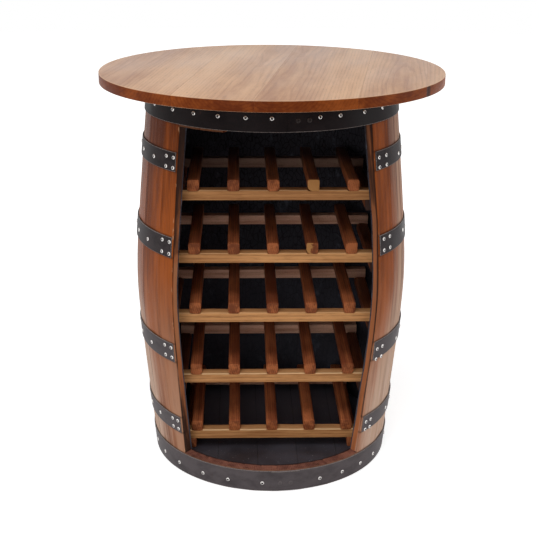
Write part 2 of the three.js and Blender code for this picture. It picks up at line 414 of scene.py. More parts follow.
def stave_wood():
    """Stained and oiled oak outside, charred black inside.

    Wear above 0 is a chipped arris, and below 0 a dirty joint. Stain above 0 is dark, and
    below 0 shows bare wood."""
    n = new_material("stave_wood")
    grain = n.attribute("grain", "Vector")
    wear = n.attribute("wear")
    stain = n.attribute("stain")
    place = n.place()
    height = n.axis(place, 2)
    depth = n.axis(grain, 1)
    outside = n.remap(depth, -14 * MM, -16 * MM)
    # Darker towards the top: painted shade of the table's overhang.
    rings, pores = oak(n, grain, (5.5 * MM, (0.16, 0.03), 0.02), srgb(161, 84, 37),
                       srgb(91, 42, 19), (0.16, 0.13, 0.26), n.remap(height, 0.6, 0.88, 0.0, 0.3))
    # The opening's joint faces are paler and tanner, partly painted light against the opening's
    # shade.
    n.coat(n.remap(outside, 1.0, 0.0, 0.0, 0.2), srgb(214, 156, 118))
    # How far round to the side it is, from -1 in front, and further towards the foot
    front = (n.axis(place, 1) + n.axis(place, 0) * 0.14) / BILGE_RADIUS
    front += n.remap(height, 0.56, 0.24, 0.0, 0.17)
    # Greyer and paler towards the foot, and more so round the sides, in long patches: partly wear,
    # partly a painted sheen of the bright floor.
    patches = n.noise(grain, (30, 30, 2.6), 5.0, 0.62)
    worn_and_sheen = n.remap(patches, 0.18, 0.6) * n.remap(height, 0.56, 0.12, 0.0, 0.95) * outside
    aside = n.remap(front, -0.48, -0.24) * n.remap(front, 0.0, 0.3, 1.0, 0.3)
    n.coat(worn_and_sheen, n.mix(aside, srgb(184, 137, 109), srgb(220, 190, 170)))
    # The sides and back are weathered in grey streaks, with a painted sheen towards the silhouettes,
    # and keep their brown in places.
    kept = n.noise(grain, (14, 14, 1.8), roughness=0.6)
    kept = n.remap(kept, 0.62, 0.45, 0.25, 0.85) * n.remap(front, -0.05, 0.2)
    scuffs_and_sheen = n.noise(grain, (70, 70, 4), 5.0, 0.6)
    scuffs_and_sheen = n.remap(scuffs_and_sheen, 0.3, 0.66) * n.remap(front, -0.38, -0.2)
    scuffs_and_sheen = scuffs_and_sheen * n.remap(height, 0.58, 0.38, 0.72, 0.92) * (1.0 - kept)
    n.coat(scuffs_and_sheen, srgb(202, 166, 142))
    # Grime and painted shade along the hoops' edges, and dirt in the joints
    shade_and_grime_by_hoops = near(n, height, flat(z_range(node) for node in HOOP_LAPS), 5 * MM) * outside
    grime_and_shade = n.maths("MAXIMUM", shade_and_grime_by_hoops * 0.6, n.remap(wear, 0.0, -1.0) * 0.85)
    n.coat(grime_and_shade * 0.85, srgb(34, 17, 11))
    # Chipped arrises show raw pale wood.
    chips = n.remap(wear, 0.0, 1.0) * n.remap(n.noise(grain, (300, 300, 60)), 0.5, 0.62)
    n.coat(chips * 0.6, srgb(205, 160, 122))
    n.coat(n.remap(stain, 0.0, -1.0, 0.0, 0.9), srgb(172, 130, 98))
    blots = n.noise(grain, (90, 90, 9), 4.0, 0.6)
    stain = n.remap(stain + n.remap(blots, 0.3, 0.7, -0.3, 0.3), 0.1, 0.9) * 0.93
    n.coat(stain, srgb(46, 33, 29))
    # Char on the inside
    ragged = n.noise(grain, (120, 120, 14), 4.0) * (5 * MM)
    char = n.remap(depth + ragged, -1.2 * MM, -0.2 * MM)
    crackle = n.add("TexVoronoi", {"Vector": n.vectors("MULTIPLY", grain, (1, 1, 0.6)),
                                   "Scale": 90.0}, feature="DISTANCE_TO_EDGE")
    frost = n.noise(place, (26, 26, 20), 6.0, 0.72)
    blackening_and_painted_light = n.mix(n.remap(crackle, 0.0, 0.08), (0.018, 0.016, 0.018, 1), (0.046, 0.043, 0.052, 1))
    # Paler towards the foot: painted light, where the inside lies in deep shade.
    blackening_and_painted_light = n.mix(n.remap(height, 0.6, 0.15, 0.0, 0.5), blackening_and_painted_light, (0.08, 0.08, 0.1, 1))
    blackening_and_painted_light = n.mix(n.remap(frost, 0.56, 0.72, 0.0, 0.8), blackening_and_painted_light, (0.11, 0.12, 0.15, 1))
    n.coat(char, blackening_and_painted_light)
    wavy = n.noise(grain, (75, 75, 5))
    relief = rings * 0.25 - pores * 0.6 + wavy * 2.0 + char * crackle
    roughness = n.remap(scuffs_and_sheen, 0.0, 0.5, 0.3, 0.5) + char * 0.4
    return n.surface(roughness, relief, 0.35 * MM, gloss=0.02)


def sawn_wood():
    """Rough reddish saw cut across the grain, with a charred inner edge."""
    n = new_material("sawn_wood")
    grain = n.attribute("grain", "Vector")
    _, pores = oak(n, grain, (4 * MM, (0.16, 0.03), 0.02), srgb(139, 90, 74), srgb(90, 54, 46),
                   (0.3, 0.2, 0.3))
    blots = n.noise(grain, (70, 70, 70), 5.0, 0.65)
    n.coat(n.remap(blots, 0.56, 0.7, 0.0, 0.75), srgb(48, 27, 23))
    char = n.remap(n.axis(grain, 1) + blots * (7 * MM), -1.4 * MM, 0.0, 0.0, 0.92)
    n.coat(char, srgb(34, 27, 28))
    kerf = n.noise(grain, (20, 900, 900), 2.0)
    return n.surface(0.62, kerf * 0.8 + pores, 0.4 * MM, gloss=0.1)


def head_wood():
    """Near-black painted oak boards, made paler at the back by painted light."""
    n = new_material("head_wood")
    place = n.place()
    _, pores = oak_figure(n, place, 5 * MM, (0.1, 0.2), 0.02)
    cloud = n.noise(place, (9, 9, 9), 5.0, 0.6)
    n.colour = n.mix(n.remap(cloud, 0.3, 0.7), srgb(38, 35, 40), srgb(58, 55, 62))
    # Paler towards the back: painted light, lifting it out of the barrel's shade.
    dust_and_painted_light = n.remap(n.axis(place, 1), -0.12, 0.14, 0.0, 0.6)
    n.coat(dust_and_painted_light, srgb(112, 110, 122))
    seams = n.maths("FRACT", (n.axis(place, 0) + 1.0) / HEAD_BOARD)
    seams = n.remap(n.maths("ABSOLUTE", seams - 0.5), 0.0, 0.012, 1.0, 0.0)
    n.coat(seams, srgb(14, 12, 13))
    specks = n.remap(n.noise(place, (260, 260, 260), 1.0), 0.74, 0.78)
    n.coat(specks, srgb(150, 146, 144))
    roughness = n.remap(cloud, 0.3, 0.7, 0.42, 0.6)
    return n.surface(roughness, pores * -0.5 - seams, 0.3 * MM)


def table_wood(name, light, dark, amounts, gloss, knot=None):
    """Lacquered flat-sawn oak, paler along its arris as a painted highlight, with a knot at a point.
    """
    n = new_material(name)
    grain = n.attribute("grain", "Vector")
    place = n.place()
    # Each board is darker along its heart.
    heart = n.remap(n.maths("ABSOLUTE", n.axis(grain, 0)), 0.01, 0.13, 0.2, -0.2)
    rings, pores = oak(n, grain, (6.5 * MM, (0.0, 0.055), 0.055, (3, 3, 1.1)), light, dark,
                       amounts, heart)
    # Thin glue lines between the boards
    turned = n.add("VectorRotate", {"Vector": place, "Angle": -TABLE_TURN}, rotation_type="Z_AXIS")
    n.coat(near(n, n.axis(turned, 0), BOARD_EDGES[1:-1], 1.3 * MM) * 0.5, dark)
    if knot:
        away = n.vectors("MULTIPLY", n.vectors("SUBTRACT", place, knot), (1, 1, 0.5))
        ragged = n.noise(place, (300, 300, 120)) * (4 * MM)
        away = n.vectors("LENGTH", away, output="Value") + ragged
        n.coat(n.remap(away, 9 * MM, 13.5 * MM, 0.85, 0.0), srgb(46, 22, 16))
    # The pale arris is a painted highlight.
    n.coat(n.attribute("wear") * 0.7, srgb(216, 176, 140))
    soft = n.noise(grain, (9, 9, 3), 5.0, 0.6)
    roughness = n.remap(soft, 0.3, 0.7, 0.34, 0.44)
    return n.surface(roughness, rings * 0.15 - pores * 0.5, 0.12 * MM, gloss)


def rail_wood():
    """Golden oiled oak, paler where its edges are rubbed, partly a painted highlight."""
    n = new_material("rail_wood")
    grain = n.attribute("grain", "Vector")
    rings, pores = oak(n, grain, (4.5 * MM, (0.05, 0.04), 0.03), srgb(213, 155, 101),
                       srgb(160, 108, 66), (0.24, 0.2, 0.26))
    flecks = n.noise(grain, (260, 260, 24), 4.0, 0.65)
    n.coat(n.remap(flecks, 0.5, 0.72, 0.0, 0.42), srgb(126, 76, 40))
    # Rubbed edges are paler: partly wear, partly a painted highlight.
    n.coat(n.attribute("wear") * 0.7, srgb(232, 196, 150))
    return n.surface(0.5, rings * 0.3 - pores * 0.7, 0.2 * MM, gloss=0.06)


def bar_wood(name, light, dark):
    """Red-brown oiled oak, fresh and pale where its wear is high, and darkened by painted shade
    where its stain is high.
    """
    n = new_material(name)
    grain = n.attribute("grain", "Vector")
    rings, pores = oak(n, grain, (5 * MM, (0.03, 0.05), 0.03), light, dark, (0.3, 0.3, 0.35))
    speckle = n.noise(grain, (420, 420, 420), roughness=0.6)
    n.coat(n.remap(speckle, 0.55, 0.72, 0.0, 0.5), srgb(66, 28, 16))
    ragged = n.remap(n.noise(grain, (220, 220, 220)), 0.3, 0.7, -0.15, 0.15)
    pale = n.remap(n.attribute("wear") + ragged, 0.4, 0.6, 0.0, 0.85)
    n.coat(pale, srgb(182, 130, 76))
    # Painted shade: darker towards the back of the rack and on the upper runners.
    n.coat(n.attribute("stain"), srgb(46, 31, 27))
    roughness = n.remap(n.noise(grain, (60, 60, 10)), 0.3, 0.7, 0.36, 0.5)
    return n.surface(roughness, rings * 0.3 - pores * 0.7, 0.25 * MM, gloss=0.08)


# Metal

def hoop_steel():
    """Blackened strap steel with a skin of scale, rubbed along its edges, dusty and with a painted
    sheen lower down.
    """
    n = new_material("hoop_steel")
    place = n.place()
    height = n.axis(place, 2)
    cloud = n.noise(place, (18, 18, 30), 6.0, 0.65)
    grit = n.noise(place, (420, 420, 420))
    n.colour = n.mix(n.remap(cloud, 0.35, 0.68), srgb(28, 22, 23), srgb(50, 43, 44))
    # Paler lower down: dust, and a painted sheen of the bright floor.
    dust_and_painted_light = n.remap(height, 0.7, 0.1, 0.0, 0.8) * n.remap(cloud, 0.25, 0.6, 0.6, 1.0)
    n.coat(dust_and_painted_light, srgb(102, 95, 97))
    # The top hoop is the blackest: painted shade of the table above it.
    n.coat(n.remap(height, 0.79, 0.83, 0.0, 0.68), srgb(18, 13, 14))
    rust = n.noise(place, (60, 60, 40), 5.0, 0.7)
    n.coat(n.remap(rust, 0.62, 0.75, 0.0, 0.35), srgb(70, 46, 38))
    # Rubbed edges are pale; on the cut ends and the rivets that pale is a painted highlight.
    rubbed = n.attribute("wear") * n.remap(grit, 0.35, 0.6, 0.3, 0.9)
    n.coat(rubbed, srgb(140, 130, 126))
    roughness = n.remap(cloud, 0.3, 0.7, 0.36, 0.52)
    return n.surface(roughness, cloud * 2.0 + grit, 0.15 * MM, gloss=0.04)


def screw_steel():
    """Bright plated screw heads, dirty and darkened by painted shade round the foot and in the
    recess.
    """
    n = new_material("screw_steel")
    haze = n.noise(n.place(), (500, 500, 500))
    n.colour = n.mix(n.attribute("wear"), srgb(196, 192, 189), srgb(20, 17, 17))
    roughness = n.remap(haze, 0.3, 0.7, 0.22, 0.38)
    return n.surface(roughness, haze, 0.03 * MM, metallic=1.0)


MATERIALS = {
    "stave_oak": stave_wood(),
    "sawn_oak": sawn_wood(),
    "head_oak": head_wood(),
    "table_oak": table_wood("table_wood", srgb(214, 168, 127), srgb(164, 114, 81),
                            (0.16, 0.09, 0.18), 0.35),
    "table_edge": table_wood("table_edge_wood", srgb(145, 74, 31),
                             srgb(98, 42, 16), (0.14, 0.14, 0.24), 0.04, EDGE_KNOT),
    "rail_oak": rail_wood(),
    "bar_oak": bar_wood("bar_wood", srgb(200, 117, 73), srgb(139, 73, 46)),
    "bar_end": bar_wood("bar_end_wood", srgb(172, 100, 60), srgb(116, 62, 37)),
    # The back rails are far paler than the bars: painted light against the shade inside the barrel.
    "back_oak": bar_wood("back_wood", srgb(236, 188, 160), srgb(202, 148, 122)),
    "hoop_steel": hoop_steel(),
    "screw_steel": screw_steel(),
}


# Staves

ARRIS = 0.5 * MM
FREE_ARRIS = 1.4 * MM
GUARD = 0.5 * MM  # how far past an edge its wear and dirt reach
FLATNESS = 0.45  # how far a stave's outside is planed flat, from 0, round, to 1
LIP = 0.8 * MM  # how long the easing of a stave's ends is
EASING = 0.48 * MM  # how deep it is
SQUARING = 20 * MM  # how far from a sawn end its square cut tells
CUT_RISE = 2.4 * MM  # how much a square cut through the wall rises or falls
CHIP_DEPTH = 1.2 * MM  # about how far a chipped arris is broken back
SWELL = 0.25 * MM  # how uneven a stave's surface is
GRAIN_STEP = 0.37  # how far apart in the grain two staves lie


def inside_cut(height):
    """How far the croze and the chime bevel go into a stave's inside."""
    end = min(height, BARREL_HEIGHT - height)
    if abs(end - CROZE_HEIGHT) < CROZE_WIDTH / 2:
        return CROZE_DEPTH
    if end < CHIME_DEPTH:
        return (wall_thickness(0) - CHIME_THICKNESS) * (1 - end / CHIME_DEPTH)
    return 0.0


def stave_levels(low, high, step):
    """Heights of a stave's rings, close together at its ends and round the crozes."""
    levels = set(spread(low, high, max(2, round((high - low) / step) + 1)))
    hair = 0.1 * MM
    inward = [CHIME_DEPTH]
    for half in (-CROZE_WIDTH / 2, CROZE_WIDTH / 2):
        inward += [CROZE_HEIGHT + half - hair, CROZE_HEIGHT + half + hair]
    levels |= {*inward, *(BARREL_HEIGHT - depth for depth in inward)}
    inner = sorted(z for z in levels if low + LIP < z < high - LIP)
    return [low, low + LIP, *inner, high - LIP, high]


def chipping(seed, height):
    """How far a raw arris is broken back at a height."""
    coarse = noise.noise(Vector((seed, 0, height * 38)))
    fine = noise.noise(Vector((seed, 7, height * 170)))
    return CHIP_DEPTH * max(0.0, coarse * 1.3 + fine * 0.7 - 0.3)


def corner_steps(cut):
    """A quarter-round arris, as steps back from the side and down from the outside."""
    turns = spread(0, math.pi / 2, 4)
    return [(cut * (1 - math.sin(turn)), cut * (1 - math.cos(turn))) for turn in turns]


def stave_ring(height, spans, seed, free, seams, inset, soil_and_shade):
    """Points, grain places, wear and stain of one ring round a stave.

    spans gives the angle of each side, at some heights. free gives, for each side that lies
    open, how dark its joint face is, and how dark a line runs along its arris. seams says how
    dark the other joints are, and soil_and_shade how dirty and bare the outside is, and how
    much painted shade darkens it."""
    wall = wall_thickness(height)
    radius = outer_radius(height) - inset
    thick = wall - inside_cut(height) - 2 * inset
    first, last = (follow(knots, height) for knots in spans)
    corners, faces, reach = [], [], []
    for side, edge, inward in ((0, first, 1), (1, last, -1)):
        cut, rubbed, stain, line = ARRIS, -seams[side], 0.0, 0.0
        if free[side]:
            broken = chipping(seed + side, height)
            cut, rubbed = FREE_ARRIS + broken, 2.0 * broken / MM
            stain, line = (follow(knots, height) for knots in free[side])
        rim = cut + GUARD
        corners.append([(edge + inward * back / radius, down, rubbed, 0.0)
                        for back, down in corner_steps(cut)])
        faces.append([(edge, down, 0.0, max(stain, line)) for down in (rim, thick * 0.22)]
                     + [(edge, thick * share, 0.0, stain) for share in (0.34, 0.55, 0.8, 1.0)])
        reach.append(edge + inward * rim / radius)
    outside = [(angle, 0.0, -soil_and_shade, -soil_and_shade * 0.4) for angle in spread(*reach, 8)]
    inside = [(angle, thick, 0.0, 0.0) for angle in spread(last, first, 7)[1:-1]]
    section = corners[0][::-1] + outside + corners[1] + faces[1] + inside + faces[0][::-1]
    angles, downs, wear, stains = zip(*section)
    ring, grain = [], []
    for angle, down in zip(angles, downs):
        offset = angle - (first + last) / 2
        planed = math.cos((last - first) / 2) / math.cos(offset)
        shape = 1 - FLATNESS * (1 - planed) if down < thick / 2 else 1
        swell = SWELL * noise.noise(Vector((offset * 20, seed, height * 9)))
        ring.append(placed(radius * shape - down + swell, angle, height))
        grain.append((radius * offset + seed, down + inset - wall, height + seed * 3))
    return ring, grain, wear, stains


def square_cut(ring, height, share):
    """Leans a sawn ring so that the cut goes square through the stave."""
    half = wall_thickness(height) / 2
    lean = (outer_radius(height + half) - outer_radius(height - half)) / (2 * half)
    radius = outer_radius(height)
    for point in ring:
        point.z += lean * (radius - point.to_2d().length) * share


def add_stave(node, low, high, spans, seed, free, seams, step, tint, slot, soil_and_shade=0.0):
    levels = stave_levels(low, high, step)
    made = [stave_ring(z, spans, seed, free, seams, EASING if z in (low, high) else 0, soil_and_shade)
            for z in levels]
    rings, grain, wear, stain = zip(*made)
    for ring, z in zip(rings, levels):
        if low > 0:
            square_cut(ring, z, max(0.0, 1 - (z - low) / SQUARING))
        if high < BARREL_HEIGHT:
            square_cut(ring, z, max(0.0, 1 - (high - z) / SQUARING))
    piece = new_piece(node + "_oak", flat(rings), skin(rings), "stave_oak", node,
                      flat(grain), tint, flat(wear), flat(stain))
    refinish(piece, "sawn_oak", lambda face: len(face.vertices) > 4)


# How dark the opening's joint faces are, and the line along their arris: height in metres,
# and how dark, from 0 to 1.
LEFT_JOINT_DARKNESS = (((0.12, 0.75), (0.16, 0.45), (0.25, 0.25), (0.33, -0.38), (0.525, -0.38),
               (0.55, 0.72), (0.6, 0.5), (0.7, 0.98)),
              ((0.12, 1.0), (0.3, 0.6), (0.6, 0.7), (0.72, 1.0)))
RIGHT_JOINT_DARKNESS = (((0.1, 0.2), (0.4, 0.0), (0.58, 0.2), (0.66, 0.5), (0.84, 0.75)),
               ((0.1, 0.5), (0.25, 0.9), (0.84, 0.9)))
# Tones of the staves beside the opening, and how dark the tight joints next to it are.
STAVE_TINTS = {0: 0.64, 20: 0.55, 19: 0.5}
SEAM_DIRT = {1: 0.1, 20: 0.12}


def add_staves():
    chance = random.Random(11)
    seams = [SEAM_DIRT.get(i, chance.uniform(0.6, 1.0)) for i in range(SIDE_STAVES + 1)]
    for i in range(SIDE_STAVES):
        node = f"stave_{i + 1:02d}"
        spans = [((0, angle),) for angle in node_span(node)]
        free = [None, None]
        if i == 0:
            spans[0], free[0] = RIGHT_EDGE, RIGHT_JOINT_DARKNESS
        if i == SIDE_STAVES - 1:
            spans[1], free[1] = LEFT_EDGE, LEFT_JOINT_DARKNESS
        add_stave(node, 0.0, BARREL_HEIGHT, spans, i * GRAIN_STEP, free, seams[i:i + 2], 6 * MM,
                  STAVE_TINTS.get(i, chance.uniform(0.3, 0.7)), "stave_oak")


# How far above its solid's end each top stub ends. Only those at the left show below the hoop.
TOP_STUB_RISES = [-2 * MM] * 2 + [3 * MM] * 5 + [2 * MM]
STUB_SEAM_DIRT = (0.4, 0.4)
# How dirty and darkened the top stubs' outside is: dirt, and partly painted shade under the hoop and
# the table.
TOP_STUB_SOIL_AND_SHADE = 0.6


def add_stubs():
    chance = random.Random(5)
    joints = ((None, None), STUB_SEAM_DIRT, 8 * MM)
    for i in range(OPENING_STAVES):
        low, high = f"bottom_stub_{i + 1:02d}", f"top_stub_{i + 1:02d}"
        spans = [((0, angle),) for angle in node_span(low)]
        if i == 0:
            spans[0] = LEFT_EDGE
        if i == OPENING_STAVES - 1:
            spans[1] = RIGHT_EDGE
        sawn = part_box(low)[1].z - CUT_RISE - chance.uniform(0, 0.8) * MM
        add_stave(low, 0.0, sawn, spans, 9 + i * GRAIN_STEP, *joints,
                  chance.uniform(0.42, 0.58), "sawn_oak")
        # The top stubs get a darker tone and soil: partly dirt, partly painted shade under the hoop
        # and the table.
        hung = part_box(high)[0].z + CUT_RISE + TOP_STUB_RISES[i]
        add_stave(high, hung, BARREL_HEIGHT, spans, 19 + i * GRAIN_STEP, *joints,
                  chance.uniform(0.1, 0.2), "sawn_oak", TOP_STUB_SOIL_AND_SHADE)


# Heads

TONGUE_PLAY = 0.8 * MM  # how much thinner the tongue is than the croze
# How far in from the rim the parts of a head end
TONGUE_DEPTH = 5 * MM
BEVEL_DEPTH = 17 * MM
FIELD_SETBACK = 19 * MM
HEAD_ARRIS = 0.5 * MM


def add_head(node):
    """A head with a raised field and a bevel down to the tongue in the croze."""
    low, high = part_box(node)
    middle = (low.z + high.z) / 2
    half = (high.z - low.z) / 2
    rim = high.x
    tongue = (CROZE_WIDTH - TONGUE_PLAY) / 2
    profile = [(0.0, half), (rim - FIELD_SETBACK, half), (rim - BEVEL_DEPTH, half - 0.4 * MM),
               (rim - TONGUE_DEPTH, tongue), (rim - HEAD_ARRIS, tongue),
               (rim, tongue - HEAD_ARRIS)]
    profile += [(radius, -z) for radius, z in reversed(profile)]
    angles = spread(0, TURN, 181)[:-1]
    rings = [[placed(radius, angle, middle + z) for angle in angles]
             for radius, z in profile[1:-1]]
    new_piece(node + "_oak", flat(rings), skin(rings), "head_oak", node)


# Hoops

def hoop_radius(low, high, height):
    """Inside radius, at a height, of a hoop that lies on the barrel from low to high."""
    base = outer_radius(low)
    return base + (outer_radius(high) - base) * ((height - low) / (high - low)) + HOOP_GAP


def strap_ring(angle, low, high, lift, thick, wobble):
    """Section of a strap at an angle, its edges rounded, with how rubbed each point is. lift
    is how far it lies off the hoop's inside."""
    soft = min(0.7 * MM, thick / 2.2)
    face = [(low, soft), (low + soft * 0.4, soft * 0.3), (low + soft, 0.0)]
    section = [(z, down, 1.0) for z, down in face]
    section += [(z, 0.0, 0.0) for z in spread(low + soft + GUARD, high - soft - GUARD, 7)]
    section += [(high - (z - low), down, 1.0) for z, down in reversed(face)]
    section += [(high, thick, 0.4), ((low + high) / 2, thick, 0.0), (low, thick, 0.4)]
    ring = []
    for z, down, _ in section:
        bump = wobble * noise.noise(Vector((math.sin(angle) * 7, math.cos(angle) * 7, z * 30)))
        ring.append(placed(hoop_radius(low, high, z) + lift + thick - down + bump, angle, z))
    return ring, [rubbed for _, _, rubbed in section]


def add_hoop(node, span, lap):
    """A strap hoop, whole if it has no span, with the lap of its riveted ends."""
    low, high = z_range(node)
    first, last = span or (0.0, TURN)
    angles = spread(first, last, round((last - first) / HOOP_STEP) + 1)
    if span:
        angles[1:-1] = [first + HOOP_END_REACH, *angles[1:-1], last - HOOP_END_REACH]
    else:
        angles.pop()
    rings, wear = zip(*(strap_ring(angle, low, high, 0.0, HOOP_THICKNESS, 0.2 * MM)
                        for angle in angles))
    # The cut ends are pale: a painted highlight of their end faces.
    if span:
        ends = [1.0] * len(wear[0])
        wear = [ends, *wear[1:-1], ends]
    tops, rubbed = zip(*(strap_ring(angle, low + LAP_INSET, high - LAP_INSET,
                                    HOOP_THICKNESS + LAP_GAP, LAP_THICKNESS, 0.1 * MM)
                         for angle in spread(*lap, 16)))
    points, faces, wear = joined([(flat(rings), skin(rings, closed=not span), flat(wear)),
                                  (flat(tops), skin(tops), flat(rubbed))])
    new_piece(node + "_strap", points, faces, "hoop_steel", node, wear=wear)


def hoop_lift(node, angle, height, lapped=False):
    """Where a fastener stands on a hoop, and the way it points."""
    low, high = z_range(node)
    radius = hoop_radius(low, high, height) + HOOP_THICKNESS + (LAP_THICKNESS if lapped else 0)
    slope = (outer_radius(high) - outer_radius(low)) / (high - low)
    outward = Vector((math.sin(angle), -math.cos(angle), -slope)).normalized()
    return placed(radius, angle, height), outward


def dome(width, rise, recess, turn, rings=8, spokes=40):
    """A round head on the XY plane: points, faces, and for each point how dirty and darkened by
    painted shade a screw is, or how rubbed a rivet is, a painted highlight. A recess is a
    cross cut into it."""
    points, dirt_and_painted_light = [], []
    for ring in range(rings + 1):
        share = ring / rings
        radius = width / 2 * math.sin(share * math.pi / 2)
        height = rise * math.cos(share * math.pi / 2) ** 0.8
        for spoke in range(spokes if ring else 1):
            local = spoke / spokes * TURN
            arm = min(abs(math.sin(local)), abs(math.cos(local))) * radius
            cut = 0.0
            if radius < width * 0.34:
                cut = min(max(0.0, 1 - (arm / (width * 0.13)) ** 4) * recess, height * 0.8)
            points.append(placed(radius, local + turn, height - cut))
            # The recess and the foot are dark: dirt and painted shade. A rivet's middle ring is a
            # painted highlight.
            if recess:
                dirt_and_painted_light.append(1.0 if cut > recess * 0.4 else (0.9 if share > 0.9 else 0.0))
            else:
                dirt_and_painted_light.append(0.14 if 0.2 < share < 0.8 else 0.0)
    faces = []
    for spoke in range(spokes):
        after = (spoke + 1) % spokes
        faces.append((0, 1 + spoke, 1 + after))
        for ring in range(rings - 1):
            a, b = 1 + ring * spokes + spoke, 1 + ring * spokes + after
            faces.append((a, a + spokes, b + spokes, b))
    faces.append(tuple(len(points) - spokes + i for i in reversed(range(spokes))))
    return points, faces, dirt_and_painted_light


def add_fasteners(name, heads, width, rise, recess, material, seed):
    """All of one hoop's screws, or its rivets, as one piece."""
    chance = random.Random(seed)
    made = []
    for place, outward in heads:
        points, faces, wear = dome(width, rise, recess, chance.uniform(0, TURN / 4))
        tilt = outward.to_track_quat("Z", "Y").to_matrix()
        made.append(([place + tilt @ (point - UP * SINK) for point in points], faces, wear))
    points, faces, wear = joined(made)
    new_piece(name, points, faces, material, wear=wear)


SCREW_WIDTH = 9 * MM
SCREW_RISE = 2.6 * MM
RIVET_WIDTH = 11 * MM
RIVET_RISE = 2.2 * MM
SCREW_RECESS = 1.1 * MM
SINK = 0.1 * MM  # how deep a head stands in the hoop

# Screws that the opening side shows. They stand where the angles, in degrees, meet the
# heights: a cut hoop has a square of four by each end, and a single one further on.
FRONT_SCREWS = {
    "top_head_hoop": [((-63.7, -48.5, -36.2, -24.4, -12.4, -1.6, 18.6, 28.0, 41.1, 54.0), (0.860,))],
    "bottom_head_hoop": [((-63.1, -49.8, -34.4, -21.2, -5.0, 22.2, 34.6, 46.9, 58.5), (0.0235,))],
    "upper_quarter_hoop": [((-51.0, -46.4), (0.760, 0.738)), ((-61.0,), (0.749,)),
                           ((49.6, 55.3), (0.757, 0.736)), ((70.2,), (0.745,))],
    "upper_bilge_hoop": [((-50.9, -46.4), (0.5765, 0.550)), ((-62.6,), (0.561,)),
                         ((50.6, 55.3), (0.5765, 0.551)), ((71.3,), (0.567,))],
    "lower_bilge_hoop": [((-51.0, -46.8), (0.3285, 0.3045)), ((-62.5,), (0.313,)),
                         ((48.8, 52.8), (0.319, 0.2935)), ((69.0,), (0.306,))],
    "lower_quarter_hoop": [((-51.2, -47.5), (0.140, 0.119)), ((-62.7,), (0.130,)),
                           ((47.2, 50.8), (0.134, 0.114)), ((68.0,), (0.126,))],
}
# Further round than this, the screws follow the staves.
FRONT_REACH = math.radians(74)

HOOP_STEP = math.radians(1.5)
RIVET_SPREAD = math.radians(2.4)
HOOP_END_SETBACK = 3 * MM
LAP_REACH = math.radians(6.5)
LAP_INSET = 0.6 * MM  # how much narrower the lap is on each side
LAP_GAP = 0.05 * MM
HOOP_END_REACH = 0.6 * MM / BILGE_RADIUS  # how far the pale of a cut end, a painted highlight, reaches


def add_hoops():
    chance = random.Random(3)
    middles = [sum(node_span(f"stave_{i + 1:02d}")) / 2 for i in range(SIDE_STAVES)]
    for number, (node, (centre, rivet_height)) in enumerate(HOOP_LAPS.items()):
        middle = sum(z_range(node)) / 2
        centre = math.radians(centre)
        setback = HOOP_END_SETBACK / outer_radius(middle)
        cut = (follow(RIGHT_EDGE, middle) + setback, TURN + follow(LEFT_EDGE, middle) - setback)
        add_hoop(node, None if "head" in node else cut, (centre - LAP_REACH, centre + LAP_REACH))
        heads = [hoop_lift(node, math.radians(angle), height)
                 for angles, heights in FRONT_SCREWS[node] for height in heights
                 for angle in angles]
        for angle in middles:
            if abs(wrapped(angle)) > FRONT_REACH and abs(wrapped(angle - centre)) > LAP_REACH:
                height = middle + chance.uniform(-2.5, 2.5) * MM
                heads.append(hoop_lift(node, angle + chance.uniform(-0.02, 0.02), height))
        add_fasteners(node + "_screws", heads, SCREW_WIDTH, SCREW_RISE, SCREW_RECESS,
                      "screw_steel", number)
        rivets = [hoop_lift(node, centre + side * RIVET_SPREAD, rivet_height, lapped=True)
                  for side in (-1, 1)]
        add_fasteners(node + "_rivets", rivets, RIVET_WIDTH, RIVET_RISE, 0.0, "hoop_steel", number)


# Table

# Each board's tone, its outer edge's tone, and how far its heart lies from its middle
BOARDS = ((0.5, 0.42, 0.04), (0.66, 0.34, -0.045), (0.5, 0.46, 0.06), (0.56, 0.46, -0.02),
          (0.72, 0.62, 0.05))
HALF_SEAM = 0.06 * MM
SHORT_EDGE = 20 * MM  # only the rim's edges are shorter, which get the arris


def board_outline(left, right):
    """Counterclockwise outline of the table between two values of x."""
    turns = [math.acos(x / TABLE_RADIUS) for x in (right, left)]
    count = max(3, round((turns[1] - turns[0]) / math.radians(1)))
    over = [(TABLE_RADIUS * math.cos(a), TABLE_RADIUS * math.sin(a))
            for a in spread(*turns, count)]
    return over + [(x, -y) for x, y in reversed(over)]


